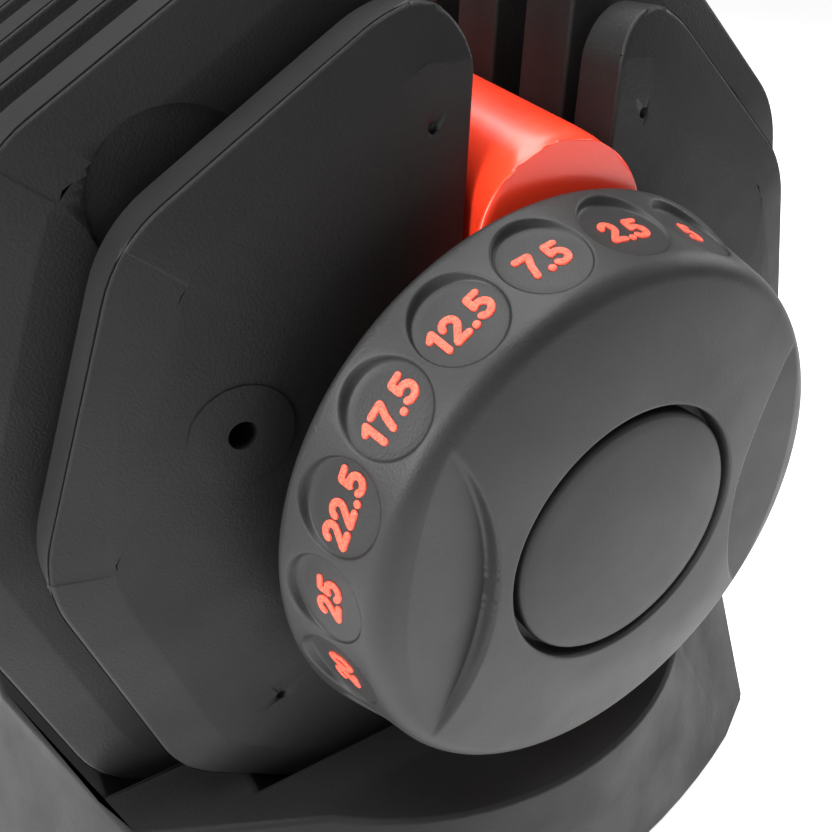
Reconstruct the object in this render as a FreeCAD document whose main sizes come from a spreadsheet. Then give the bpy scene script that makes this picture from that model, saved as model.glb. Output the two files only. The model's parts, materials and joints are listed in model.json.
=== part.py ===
"""Adjustable dumbbell in its tray, as a parametric FreeCAD document.

Frame: X along the handle, Z up, origin under the middle of the tray, millimetres.
Each end is built in its own local frame, whose X runs outwards from the middle of the handle and whose
origin is on the handle axis. The right end stands as built and the left end is turned half a turn about Z.
"""

import FreeCAD, Part
import math
import os

from FreeCAD import Placement, Rotation, Vector

# alias, value in mm (or a count or degrees), what it is
DIMENSIONS = [
    ("axis_height", 106.0, "handle axis above the table"),
    ("grip_half", 64.0, "half the length of the grip"),
    ("grip_radius", 16.5, "grip sleeve at its ends"),
    ("grip_swell", 1.5, "how much fatter the grip is in the middle"),
    ("tube_radius", 12.0, "handle tube outside"),
    ("tube_bore", 9.6, "handle tube inside"),
    ("tube_half", 69.0, "half the length of the handle tube"),
    ("housing_radius", 38.0, "end housing"),
    ("housing_width", 16.0, "end housing along the axis"),
    ("chamber_floor", 70.0, "where the lock chamber starts"),
    ("flange_radius", 35.0, "shroud flange that closes the lock chamber"),
    ("flange_width", 2.5, "shroud flange thickness"),
    ("journal_radius", 4.0, "axle journal in the bush"),
    ("running_gap", 0.05, "radial clearance of the axle in its bearings"),
    ("axle_square", 7.0, "square part of the axle"),
    ("tip_radius", 3.45, "axle journal in the shroud's end wall"),
    ("tip_square", 4.8, "square that drives the knob"),
    ("knob_rear", 188.5, "rear rim plane of the knob"),
    ("knob_radius", 54.0, "knob at its rear rim"),
    ("knob_front_radius", 48.6, "knob at its front edge"),
    ("cap_radius", 23.3, "centre cap"),
    ("cap_recess_radius", 24.6, "recess of the centre cap"),
    ("pocket_count", 20, "number pockets around the knob"),
    ("pocket_radius", 7.3, "number pocket"),
    ("pocket_centre", 10.4, "pocket centre in front of the rear rim"),
    ("pocket_floor", 50.1, "middle of a pocket's floor from the axis"),
    ("pocket_tilt", 13.5, "slope of a pocket's floor, degrees"),
    ("numeral_rise", 0.25, "numbers above a pocket's floor"),
    ("scoop_radius", 46.5, "wall of a finger scoop"),
    ("scoop_centre", 74.2, "centre of a finger scoop's wall from the axis"),
    ("scoop_end", 45.0, "where a scoop's floor meets the knob's face, from the axis"),
    ("scoop_tilt", 5.5, "slope of the scoop floor, degrees"),
    ("plate_sides", 10, "sides of each plate"),
    ("large_radius", 100.0, "large plate, centre to corner"),
    ("large_width", 13.4, "large plate thickness"),
    ("small_radius", 85.0, "small plate, centre to corner"),
    ("small_width", 10.6, "small plate thickness"),
    ("plate_pitch", 22.2, "large plate spacing"),
    ("small_offset", 14.0, "front of the small plate ahead of the next plate's front"),
    ("knob_gap", 10.0, "small plate front to the knob's rear rim"),
    ("jacket_wall", 1.0, "nylon over the steel"),
    ("bevel_drop", 2.0, "how far the bevel band falls back"),
    ("bevel_inset", 9.0, "bevel band, centre to corner"),
    ("slot_half", 15.0, "half the width of a plate's slot"),
    ("slot_floor", 17.5, "slot floor below the axis"),
    ("slot_round", 11.0, "rounding at the mouth of the slot"),
    ("tab_half", 5.0, "half the width of a plate's lift tab"),
    ("tab_width", 4.0, "lift tab thickness"),
    ("tab_top", 7.3, "top of the lift tab below the axis"),
    ("lug_half", 1.6, "half the width of the lug on the lift tab"),
    ("lug_depth", 1.4, "lug height"),
    ("lug_reach", 3.4, "how far the lug enters the disc's channel"),
    ("disc_radius", 11.4, "selector disc"),
    ("disc_width", 6.0, "selector disc thickness"),
    ("disc_gap", 0.5, "selector disc to lift tab"),
    ("channel_outer", 9.2, "selector disc channel, outer wall"),
    ("channel_inner", 6.9, "selector disc channel, hub"),
    ("channel_depth", 4.2, "selector disc channel depth"),
    ("shroud_half", 13.8, "half the width of the shroud"),
    ("shroud_wall", 1.6, "shroud wall"),
    ("shroud_top_outer", 62.0, "top of the shroud at the knob end, above the axis"),
    ("shroud_top_inner", 74.0, "top of the shroud at the housing end, above the axis"),
    ("shroud_skirt", 14.5, "lower edge of the shroud below the axis"),
    ("wheel_radius", 14.0, "lock wheel"),
    ("wheel_width", 4.0, "lock wheel thickness"),
    ("notch_half", 1.2, "half the width of a lock notch"),
    ("notch_floor", 11.0, "lock notch floor from the axis"),
    ("lock_travel", 3.0, "travel of the lock plunger"),
    ("stem_half", 3.5, "half the width of the plunger stem"),
    ("stem_end", 41.0, "end of the plunger stem below the axis"),
    ("deck_drop", 60.0, "tray deck below the axis"),
    ("tray_wall", 3.0, "tray shell thickness"),
    ("base_lift", 2.0, "tray shell above the table"),
    ("base_width", 2.0, "tray base plate thickness"),
    ("well_gap", 0.8, "clearance around a plate in its well"),
    ("hub_hole", 2.4, "through hole beside a plate's hub ring"),
    ("ring_radius", 8.5, "raised ring around a through hole"),
    ("ring_height", 0.3, "raised ring above the plate's face"),
    ("spot_radius", 1.0, "moulding hole"),
    ("spot_depth", 1.2, "moulding hole depth"),
    ("boss_radius", 13.0, "spacing boss on a plate's back"),
    ("boss_clear", 0.5, "spacing boss to the next plate"),
    ("recess_depth", 0.8, "recess in a plate's front, across from the boss"),
    ("hand_well_half", 52.0, "half the length of the hand well"),
    ("hand_well_floor", 84.0, "hand well below the axis"),
]
SIZE = {alias: value for alias, value, _ in DIMENSIONS}

# dial positions, counted away from the one at the top, at which each disc holds its plate
HELD = {
    "small": (5, 6, 7, 8, 9),
    "4": (4, 5),
    "3": (3, 4, 5, 6),
    "2": (2, 3, 4, 5, 6, 7),
    "1": (1, 2, 3, 4, 5, 6, 7, 8),
}
SETTINGS = 10
PITCH_DEG = 18.0
RIM_SHORT_DEG = 3.0  # a disc's rim stops this far short of the boundary between two positions

doc = FreeCAD.newDocument("adjustable_dumbbell")
made = []


def dimension_sheet():
    """Puts every driving dimension in a spreadsheet cell that carries its name."""
    sheet = doc.addObject("Spreadsheet::Sheet", "Dims")
    for row, (alias, value, note) in enumerate(DIMENSIONS, start=1):
        sheet.set(f"A{row}", note)
        sheet.set(f"B{row}", str(value))
        sheet.setAlias(f"B{row}", alias)
    doc.recompute()


def end_place(side, x=0.0, turn=0.0):
    """Where a piece of one end stands: x out from the middle, turned about the handle axis."""
    facing = Rotation(Vector(0, 0, 1), 0 if side == "right" else 180)
    middle = Vector(0, 0, SIZE["axis_height"])
    return Placement(middle + facing.multVec(Vector(x, 0, 0)), facing * Rotation(Vector(1, 0, 0), turn))


# ---------------------------------------------------------------- PartDesign helpers


def new_body(label):
    body = doc.addObject("PartDesign::Body", label)
    body.Label = label
    made.append(body)
    return body


def sketch_on(body, role, edges, shift=None):
    """A sketch on one of the body's own origin planes, moved off it by a placement in the plane's frame."""
    sketch = body.newObject("Sketcher::SketchObject", body.Name + "_sketch")
    plane = next(f for f in body.Origin.OriginFeatures if f.Role == role)
    sketch.AttachmentSupport = [(plane, "")]
    sketch.MapMode = "FlatFace"
    if shift is not None:
        sketch.AttachmentOffset = shift
    sketch.addGeometry(edges, False)
    return sketch


def lines(points):
    """Straight edges around a closed outline."""
    corners = [Vector(x, y, 0) for x, y in points]
    return [Part.LineSegment(a, b) for a, b in zip(corners, corners[1:] + corners[:1])]


def chain(steps):
    """A closed outline of (x, y) corners and (mid point, end point) arcs, from the first corner round to it."""
    start = here = Vector(*steps[0], 0)
    edges = []
    for step in steps[1:]:
        if isinstance(step[0], tuple):
            middle, end = (Vector(*p, 0) for p in step)
            edges.append(Part.Arc(here, middle, end))
        else:
            end = Vector(*step, 0)
            edges.append(Part.LineSegment(here, end))
        here = end
    if here.distanceToPoint(start) > 1e-6:
        edges.append(Part.LineSegment(here, start))
    return edges


def circle(radius, x=0.0, y=0.0):
    return [Part.Circle(Vector(x, y, 0), Vector(0, 0, 1), radius)]


def rectangle(x0, x1, y0, y1):
    return lines([(x0, y0), (x1, y0), (x1, y1), (x0, y1)])


def polygon(radius, sides=None):
    """Corners of a plate's outline, flat at the top and bottom."""
    sides = sides or int(SIZE["plate_sides"])
    step = 2 * math.pi / sides
    return [(radius * math.cos(step * i), radius * math.sin(step * i)) for i in range(sides)]


def along(distance):
    """A sketch's place at a distance along the normal of its plane."""
    return Placement(Vector(0, 0, distance), Rotation())


def pad(body, edges, role, length, start=0.0):
    """Pads an outline. length is a number or a sheet expression."""
    feature = body.newObject("PartDesign::Pad", body.Name + "_pad")
    feature.Profile = sketch_on(body, role, edges, along(start))
    set_length(feature, length)
    body.Tip = feature
    return feature


def pocket(body, edges, role, length, start=0.0, outwards=False, shift=None):
    """Pockets an outline against the plane's normal, or along it when outwards is set."""
    feature = body.newObject("PartDesign::Pocket", body.Name + "_pocket")
    feature.Profile = sketch_on(body, role, edges, shift or along(start))
    set_length(feature, length)
    feature.Reversed = outwards
    body.Tip = feature
    return feature


def set_length(feature, length):
    if isinstance(length, str):
        feature.setExpression("Length", length)
    else:
        feature.Length = length


def revolve(body, edges, groove=False):
    """Turns an outline of (x, radius) points once about the X axis."""
    kind = "PartDesign::Groove" if groove else "PartDesign::Revolution"
    feature = body.newObject(kind, body.Name + "_turned")
    feature.Profile = sketch_on(body, "XZ_Plane", edges)
    feature.ReferenceAxis = (feature.Profile[0], ["H_Axis"])
    feature.Angle = 360
    body.Tip = feature
    return feature


def around(body, feature, count):
    """Repeats a feature evenly about the X axis."""
    pattern = body.newObject("PartDesign::PolarPattern", body.Name + "_pattern")
    pattern.Originals = [feature]
    axis = next(f for f in body.Origin.OriginFeatures if f.Role == "X_Axis")
    pattern.Axis = (axis, [""])
    pattern.Angle = 360
    pattern.Occurrences = count
    body.Tip = pattern
    return pattern


def group(label, shape):
    """Several separate solids of one kind, kept in one node."""
    feature = doc.addObject("Part::Feature", label)
    feature.Label = label
    feature.Shape = shape
    made.append(feature)
    return feature


def box(x0, x1, y0, y1, z0, z1):
    return Part.makeBox(x1 - x0, y1 - y0, z1 - z0, Vector(x0, y0, z0))


def rod(radius, x0, x1, y=0.0, z=0.0):
    """A cylinder along X."""
    return Part.makeCylinder(radius, x1 - x0, Vector(x0, y, z), Vector(1, 0, 0))


def prism(radius, x0, x1):
    """A plate's outline as a solid between two planes."""
    corners = [Vector(x0, y, z) for y, z in polygon(radius)]
    return Part.Face(Part.makePolygon(corners + corners[:1])).extrude(Vector(x1 - x0, 0, 0))


# ---------------------------------------------------------------- plates


def name_of(kind):
    return "small_plate" if kind == "small" else f"large_plate_{kind}"


def plate_numbers(kind):
    """Corner radius, thickness, and rear face along the end's X, of a plate."""
    small_front = SIZE["knob_rear"] - SIZE["knob_gap"]
    if kind == "small":
        return SIZE["small_radius"], SIZE["small_width"], small_front - SIZE["small_width"]
    front = small_front - SIZE["small_offset"] - (4 - int(kind)) * SIZE["plate_pitch"]
    return SIZE["large_radius"], SIZE["large_width"], front - SIZE["large_width"]


def plate_top(radius):
    return radius * math.sin(math.radians(72))


def slot_outline(half, floor, top, flare):
    """The slot's outline, open past the plate's top, with its mouth rounded outwards by flare."""
    turn = flare * (1 - math.sqrt(0.5))
    return chain([
        (-half, -floor),
        (half, -floor),
        (half, top - flare),
        ((half + turn, top - turn), (half + flare, top)),
        (half + flare, top + flare),
        (-half - flare, top + flare),
        (-half - flare, top),
        ((-half - turn, top - turn), (-half, top - flare)),
    ])


def core_outline(radius):
    """The steel's outline: the plate's own, drawn in by the jacket, with the wider slot."""
    wall = SIZE["jacket_wall"]
    corner = radius - 3.6 * wall
    half = SIZE["slot_half"] + wall
    floor = SIZE["slot_floor"] + wall
    flare = SIZE["slot_round"] - 2.5 * wall
    top = plate_top(corner)
    turn = flare * (1 - math.sqrt(0.5))
    step = math.radians(36)
    rim = [(corner * math.cos(step * i), corner * math.sin(step * i)) for i in range(2, -8, -1)]
    return chain([
        (-half, -floor),
        (half, -floor),
        (half, top - flare),
        ((half + turn, top - turn), (half + flare, top)),
        *rim,
        (-half - flare, top),
        ((-half - turn, top - turn), (-half, top - flare)),
    ])


def mirrored(radius, y, z):
    """A spot given on the small plate, scaled to a plate's size, on both sides."""
    scale = radius / SIZE["small_radius"]
    return [(side * y * scale, z * scale) for side in (-1, 1)]


def hub_spots(radius):
    return mirrored(radius, 54.2, 18.5)


def moulding_spots(radius):
    return mirrored(radius, 22.0, 62.6) + mirrored(radius, 50.0, -39.1)


def boss_spots(radius):
    return mirrored(radius, 47.0, 43.5)


def core_span(width):
    """Where the steel starts and ends along the plate's thickness."""
    return SIZE["jacket_wall"], width - SIZE["jacket_wall"] - 0.35 * SIZE["bevel_drop"]


def steel_core(kind, side):
    """The steel inside a plate, with the tab that reaches up into the shroud and the lug a disc picks up."""
    radius, width, rear = plate_numbers(kind)
    wall = SIZE["jacket_wall"]
    start, end = core_span(width)
    body = new_body(f"{side}_{name_of(kind)}_core")
    posts = [c for y, z in hub_spots(radius) for c in circle(SIZE["hub_hole"] + wall, y, z)]
    pad(body, core_outline(radius) + posts, "YZ_Plane", end - start, start)
    foot = -SIZE["slot_floor"] - wall - 1
    tab = rectangle(-SIZE["tab_half"], SIZE["tab_half"], foot, -SIZE["tab_top"])
    pad(body, tab, "YZ_Plane", "Dims.tab_width", start)
    half = SIZE["lug_half"]
    lug = rectangle(-half, half, -SIZE["tab_top"] - SIZE["lug_depth"], -SIZE["tab_top"])
    pad(body, lug, "YZ_Plane", "Dims.tab_width + Dims.lug_reach", start)
    body.Placement = end_place(side, rear)


def nylon_jacket(kind, side):
    """The moulded cover around the steel: bevelled front, slot, moulding holes, rear bosses, front recesses."""
    radius, width, rear = plate_numbers(kind)
    wall = SIZE["jacket_wall"]
    straight = width - SIZE["bevel_drop"]
    body = new_body(f"{side}_{name_of(kind)}_jacket")
    pad(body, lines(polygon(radius)), "YZ_Plane", straight)
    bevel = body.newObject("PartDesign::AdditiveLoft", body.Name + "_bevel")
    bevel.Profile = sketch_on(body, "YZ_Plane", lines(polygon(radius)), along(straight))
    field = lines(polygon(radius - SIZE["bevel_inset"]))
    bevel.Sections = [(sketch_on(body, "YZ_Plane", field, along(width)), [""])]
    bevel.Ruled = True
    body.Tip = bevel
    if kind != "1":
        gap = SIZE["small_offset"] - width if kind == "small" else SIZE["plate_pitch"] - width
        height = gap - SIZE["boss_clear"]
        for y, z in boss_spots(radius):
            pad(body, circle(SIZE["boss_radius"], y, z), "YZ_Plane", height, -height)
    slot = slot_outline(SIZE["slot_half"], SIZE["slot_floor"], plate_top(radius), SIZE["slot_round"])
    pocket(body, slot, "YZ_Plane", 2 * width, 1.5 * width)
    for y, z in hub_spots(radius):
        pad(body, circle(SIZE["ring_radius"], y, z), "YZ_Plane", "Dims.ring_height", width)
        pocket(body, circle(SIZE["hub_hole"], y, z), "YZ_Plane", 2 * width, 1.5 * width)
    for y, z in moulding_spots(radius):
        pocket(body, circle(SIZE["spot_radius"], y, z), "YZ_Plane", "Dims.spot_depth", width)
    if kind != "small":
        for y, z in boss_spots(radius):
            pocket(body, circle(SIZE["boss_radius"] + 1, y, z), "YZ_Plane", "Dims.recess_depth", width)
    start, end = core_span(width)
    posts = [c for y, z in hub_spots(radius) for c in circle(SIZE["hub_hole"] + wall, y, z)]
    pocket(body, core_outline(radius) + posts, "YZ_Plane", end - start, end)
    foot = -SIZE["slot_floor"] - wall - 1
    way_out = rectangle(-SIZE["tab_half"], SIZE["tab_half"], foot, -SIZE["slot_floor"] + 1)
    pocket(body, way_out, "YZ_Plane", "Dims.tab_width", start + SIZE["tab_width"])
    body.Placement = end_place(side, rear)


# ---------------------------------------------------------------- dial


def disc_sectors(kind):
    """Runs of dial positions, as (first, last), round the whole turn, at which the disc's rim is kept."""
    first, last = HELD[kind][0], HELD[kind][-1]
    turns = int(SIZE["pocket_count"]) // SETTINGS
    return [(first + SETTINGS * i, last + SETTINGS * i) for i in range(turns)]


def selector_disc(kind, side):
    """A disc with a channel in its inner face. Where its rim is cut away the plate's lug is left behind."""
    _, _, rear = plate_numbers(kind)
    x0 = rear + SIZE["jacket_wall"] + SIZE["tab_width"] + SIZE["disc_gap"]
    body = new_body(f"{side}_{'small' if kind == 'small' else 'large_' + kind}_selector_disc")
    pad(body, circle(SIZE["disc_radius"]), "YZ_Plane", "Dims.disc_width")
    ring = circle(SIZE["channel_outer"]) + circle(SIZE["channel_inner"])
    pocket(body, ring, "YZ_Plane", "Dims.channel_depth", 0, outwards=True)
    half = SIZE["axle_square"] / 2
    pocket(body, rectangle(-half, half, -half, half), "YZ_Plane", 2 * SIZE["disc_width"], 1.5 * SIZE["disc_width"])
    sectors = disc_sectors(kind)
    for (_, last), (first, _) in zip(sectors, sectors[1:] + [(sectors[0][0] + 2 * SETTINGS, 0)]):
        # the part of the rim that is at the bottom in position n starts n pitches round from there
        a0 = (last + 0.5) * PITCH_DEG - RIM_SHORT_DEG
        a1 = (first - 0.5) * PITCH_DEG + RIM_SHORT_DEG
        pocket(body, rim_gap(a0, a1), "YZ_Plane", "Dims.channel_depth", 0, outwards=True)
    body.Placement = end_place(side, x0)


def rim_gap(a0, a1):
    """A piece of the rim's ring between two angles, measured from the bottom towards +Y, in degrees."""
    inner = SIZE["channel_outer"] - 0.2
    outer = SIZE["disc_radius"] + 1

    def at(radius, degrees):
        angle = math.radians(degrees)
        return (radius * math.sin(angle), -radius * math.cos(angle))

    middle = (a0 + a1) / 2
    return chain([
        at(inner, a0),
        at(outer, a0),
        (at(outer, middle), at(outer, a1)),
        at(inner, a1),
        (at(inner, middle), at(inner, a0)),
    ])


def lock_wheel(side):
    """A wheel with one notch for each dial position, which the plunger's tooth drops into."""
    body = new_body(f"{side}_lock_wheel")
    pad(body, circle(SIZE["wheel_radius"]), "YZ_Plane", "Dims.wheel_width")
    half = SIZE["axle_square"] / 2
    pocket(body, rectangle(-half, half, -half, half), "YZ_Plane", 3 * SIZE["wheel_width"], 2 * SIZE["wheel_width"])
    notch = rectangle(-SIZE["notch_half"], SIZE["notch_half"], SIZE["notch_floor"], SIZE["wheel_radius"] + 1)
    cut = pocket(body, notch, "YZ_Plane", 3 * SIZE["wheel_width"], 2 * SIZE["wheel_width"])
    around(body, cut, int(SIZE["pocket_count"]))
    body.Placement = end_place(side, SIZE["chamber_floor"] + 1)


def selector_axle(side):
    """Round journals at both ends, a square for the lock wheel and discs, a small square for the knob."""
    start = SIZE["chamber_floor"] - 11.5
    square_start = SIZE["chamber_floor"] + 0.5
    tip = SIZE["knob_rear"] - 7.6
    drive = SIZE["knob_rear"] - 2.5
    end = SIZE["knob_rear"] + 12
    body = new_body(f"{side}_selector_axle")
    pad(body, circle(SIZE["journal_radius"]), "YZ_Plane", square_start - start, start)
    half = SIZE["axle_square"] / 2
    pad(body, rectangle(-half, half, -half, half), "YZ_Plane", tip - square_start, square_start)
    pad(body, circle(SIZE["tip_radius"]), "YZ_Plane", drive - tip, tip)
    half = SIZE["tip_square"] / 2
    pad(body, rectangle(-half, half, -half, half), "YZ_Plane", end - drive, drive)
    pocket(body, circle(1.5), "YZ_Plane", 9.0, end)
    body.Placement = end_place(side)


def pocket_place():
    """The middle of the top pocket's sloping floor, in the knob's frame."""
    tilt = Rotation(Vector(0, 1, 0), SIZE["pocket_tilt"])
    return Placement(Vector(SIZE["pocket_centre"], 0, SIZE["pocket_floor"]), tilt)


def dial_knob(side):
    """A tapered cup with a rounded face, number pockets round the rim and two opposed finger scoops."""
    radius, front = SIZE["knob_radius"], SIZE["knob_front_radius"]
    recess = SIZE["cap_recess_radius"]
    body = new_body(f"{side}_dial_knob")
    outline = chain([
        (0, radius - 4),
        (0, radius - 1.5),
        ((0.45, radius - 0.45), (1.5, radius)),
        (17.4, front + 0.35),
        ((19.7, front - 0.9), (21.0, front - 3.4)),
        ((22.2, (front + recess) / 2 - 1), (22.6, recess + 0.6)),
        ((22.4, recess + 0.15), (22.0, recess)),
        (18.5, recess),
        (18.5, 3.4),
        (12, 3.4),
        (12, 0),
        (-2.5, 0),
        (-2.5, 8),
        (15, 9),
        (15, front - 4),
        ((14.2, front - 2.6), (12.8, front - 1.8)),
    ])
    revolve(body, outline)
    deep = 6.0
    floor = pocket_place()
    above = floor.multVec(Vector(0, 0, deep))
    hole = circle(SIZE["pocket_radius"])
    cut = pocket(body, hole, "XY_Plane", deep, shift=Placement(above, floor.Rotation))
    around(body, cut, int(SIZE["pocket_count"]))
    for turn in (-1, 1):
        tilt = Rotation(Vector(0, 1, 0), -turn * SIZE["scoop_tilt"])
        place = Placement(Vector(turn * SIZE["scoop_end"], 0, 21.4), tilt)
        off = turn * (SIZE["scoop_centre"] - SIZE["scoop_end"])
        pocket(body, circle(SIZE["scoop_radius"], off, 0), "YZ_Plane", 9.0, outwards=True, shift=place)
    half = SIZE["tip_square"] / 2
    pocket(body, rectangle(-half, half, -half, half), "YZ_Plane", 20.0, 14.0)
    body.Placement = end_place(side, SIZE["knob_rear"])


def knob_cap(side):
    """A slightly domed disc with a rounded edge, over the retaining screw."""
    radius = SIZE["cap_radius"]
    body = new_body(f"{side}_dial_cap")
    pad(body, circle(radius), "YZ_Plane", 2.8, 18.5)
    for near, far, x0, x1 in ((0, 1, 21.3, 22.2), (1, 7, 22.2, 23.1), (7, 16, 23.1, 23.6)):
        cone = body.newObject("PartDesign::AdditiveLoft", body.Name + "_cone")
        cone.Profile = sketch_on(body, "YZ_Plane", circle(radius - near), along(x0))
        cone.Sections = [(sketch_on(body, "YZ_Plane", circle(radius - far), along(x1)), [""])]
        body.Tip = cone
    pocket(body, circle(4.0), "YZ_Plane", 2.0, 18.5, outwards=True)
    body.Placement = end_place(side, SIZE["knob_rear"])


def dial_labels(side):
    """The raised numbers, each a low pad on its pocket's floor."""
    one = box(-2.4, 2.4, -4.2, 4.2, 0, SIZE["numeral_rise"])
    one.Placement = pocket_place()
    step = 360 / SIZE["pocket_count"]
    pads = []
    for i in range(int(SIZE["pocket_count"])):
        pads.append(one.rotated(Vector(0, 0, 0), Vector(1, 0, 0), step * i))
    labels = group(f"{side}_dial_numerals", Part.makeCompound(pads))
    labels.Placement = end_place(side, SIZE["knob_rear"])


def axle_screw(side):
    """Holds the knob on the axle."""
    body = new_body(f"{side}_axle_screw")
    end = SIZE["knob_rear"] + 12
    pad(body, circle(1.5), "YZ_Plane", 8.0, end - 8)
    pad(body, circle(3.0), "YZ_Plane", 2.4, end)
    pocket(body, rectangle(-2.2, 2.2, -0.4, 0.4), "YZ_Plane", 1.0, end + 2.4)
    body.Placement = end_place(side)


# ---------------------------------------------------------------- handle


def handle_tube():
    body = new_body("handle_tube")
    ring = circle(SIZE["tube_radius"]) + circle(SIZE["tube_bore"])
    pad(body, ring, "YZ_Plane", "2 * Dims.tube_half", -SIZE["tube_half"])
    body.Placement = end_place("right")


def grip_sleeve():
    half, radius, swell = SIZE["grip_half"], SIZE["grip_radius"], SIZE["grip_swell"]
    body = new_body("grip_sleeve")
    revolve(body, chain([
        (-half, SIZE["tube_radius"]),
        (-half, radius),
        ((0, radius + swell), (half, radius)),
        (half, SIZE["tube_radius"]),
    ]))
    body.Placement = end_place("right")


def screw_spots():
    """Where the flange screws are: (y, z) pairs."""
    return [(-23.0, 22.0), (23.0, 22.0), (-23.0, -20.0), (23.0, -20.0)]


def end_housing(side):
    """A round housing with the lock chamber open to its outer face and a way out below for the plunger."""
    start, width = SIZE["grip_half"], SIZE["housing_width"]
    body = new_body(f"{side}_end_housing")
    outer = SIZE["housing_radius"]
    revolve(body, chain([
        (start, SIZE["tube_radius"]),
        (start, outer - 3),
        ((start + 0.9, outer - 0.9), (start + 3, outer)),
        (start + width - 1, outer),
        (start + width, outer - 1),
        (start + width, SIZE["tube_bore"]),
        (SIZE["tube_half"], SIZE["tube_bore"]),
        (SIZE["tube_half"], SIZE["tube_radius"]),
    ]))
    front = start + width
    depth = front - SIZE["chamber_floor"]
    pocket(body, rectangle(-19.2, 19.2, -25.5, 22.5), "YZ_Plane", depth, front)
    pocket(body, rectangle(-4.2, 4.2, 22.0, 33.0), "YZ_Plane", depth, front)
    pocket(body, rectangle(-3.9, 3.9, -outer - 1, -25.0), "YZ_Plane", depth, front)
    for y, z in screw_spots():
        pocket(body, circle(1.6, y, z), "YZ_Plane", 5.0, front)
    body.Placement = end_place(side)


def axle_bush(side):
    body = new_body(f"{side}_axle_bush")
    ring = circle(SIZE["tube_bore"]) + circle(SIZE["journal_radius"] + SIZE["running_gap"])
    pad(body, ring, "YZ_Plane", 12.0, SIZE["chamber_floor"] - 12)
    body.Placement = end_place(side)


def shroud(side):
    """The cover over the discs: a flange on the housing, a tall arched tunnel, a flared lip and an end wall."""
    flange_start = SIZE["grip_half"] + SIZE["housing_width"]
    start = flange_start + SIZE["flange_width"]
    lip = SIZE["knob_rear"] - 9.0
    end = SIZE["knob_rear"] - 3.0
    half, wall, skirt = SIZE["shroud_half"], SIZE["shroud_wall"], SIZE["shroud_skirt"]
    inner_top, outer_top = SIZE["shroud_top_inner"], SIZE["shroud_top_outer"]
    body = new_body(f"{side}_shroud")

    def arch(half_width, top, bottom):
        return chain([
            (-half_width, -bottom),
            (half_width, -bottom),
            (half_width, top - half_width),
            ((0, top), (-half_width, top - half_width)),
        ])

    def loft(kind, near, far, x0, x1):
        feature = body.newObject(f"PartDesign::{kind}", body.Name + "_loft")
        feature.Profile = sketch_on(body, "YZ_Plane", near, along(x0))
        feature.Sections = [(sketch_on(body, "YZ_Plane", far, along(x1)), [""])]
        feature.Ruled = True
        body.Tip = feature

    slope = (outer_top - inner_top) / (end - start)
    lip_top = inner_top + slope * (lip - start)
    pad(body, circle(SIZE["flange_radius"]), "YZ_Plane", "Dims.flange_width", flange_start)
    loft("AdditiveLoft", arch(half, inner_top, skirt), arch(half, lip_top, skirt), start, lip)
    middle = arch(half + 1.2, lip_top - 0.6, skirt)
    loft("AdditiveLoft", arch(half, lip_top, skirt), middle, lip, lip + 3)
    flared = arch(half + 4.0, lip_top - 1.6, skirt)
    loft("AdditiveLoft", middle, flared, lip + 3, end - 0.8)
    pad(body, flared, "YZ_Plane", 0.8, end - 0.8)
    hollow_end = end - 4.0
    far_top = inner_top + slope * (hollow_end - start)
    near = arch(half - wall, inner_top - wall, skirt + 1)
    far = arch(half - wall, far_top - wall, skirt + 1)
    loft("SubtractiveLoft", near, far, start, hollow_end)
    bore = circle(SIZE["tip_radius"] + SIZE["running_gap"])
    pocket(body, bore, "YZ_Plane", 8.0, end + 1)
    pocket(body, circle(6.0), "YZ_Plane", 4.0, start + 0.5)
    for y, z in screw_spots():
        pocket(body, circle(1.6, y, z), "YZ_Plane", 4.0, start + 0.5)
        pocket(body, circle(3.0, y, z), "YZ_Plane", 1.5, start)
    body.Placement = end_place(side)


def lock_plunger(side):
    """A frame around the lock wheel with a tooth at its top and a stem that the tray's post pushes up."""
    body = new_body(f"{side}_lock_plunger")
    x0 = SIZE["chamber_floor"] + 1
    frame = rectangle(-18.5, 18.5, -21.5, 21.5) + rectangle(-15.5, 15.5, -18.5, 18.3)
    pad(body, frame, "YZ_Plane", "Dims.wheel_width", x0)
    tooth = SIZE["notch_half"] - 0.3
    pad(body, rectangle(-tooth, tooth, SIZE["wheel_radius"] + 0.5, 18.8), "YZ_Plane", "Dims.wheel_width", x0)
    half = SIZE["stem_half"]
    pad(body, rectangle(-half, half, -SIZE["stem_end"], -21.0), "YZ_Plane", "Dims.wheel_width", x0)
    body.Placement = end_place(side)


def plunger_spring(side):
    """A coil between the chamber's top and the plunger's frame."""
    wire, turns, low, high = 0.45, 5, 21.5, 33.0
    pitch = (high - low - 2 * wire) / turns
    helix = Part.makeHelix(pitch, pitch * turns, 2.6)
    section = Part.Wire(Part.Circle(Vector(2.6, 0, 0), Vector(0, 1, 0), wire).toShape())
    coil = helix.makePipeShell([section], True, True)
    spring = group(f"{side}_plunger_spring", coil)
    x = SIZE["chamber_floor"] + 1 + SIZE["wheel_width"] / 2
    place = end_place(side, x)
    spring.Placement = Placement(place.Base + Vector(0, 0, low + wire), place.Rotation)


def housing_screws():
    """The screws that hold both shrouds to their housings."""
    face = SIZE["grip_half"] + SIZE["housing_width"] + SIZE["flange_width"]
    solids = []
    for side in ("right", "left"):
        place = end_place(side)
        for y, z in screw_spots():
            screw = rod(1.6, face - 7.0, face - 1.5, y, z).fuse(rod(3.0, face - 1.5, face - 0.1, y, z))
            screw.Placement = place
            solids.append(screw)
    group("housing_screws", Part.makeCompound(solids))


# ---------------------------------------------------------------- tray


def tray_level(below_axis):
    """Height above the table of something given below the handle axis."""
    return SIZE["axis_height"] - below_axis


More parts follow.
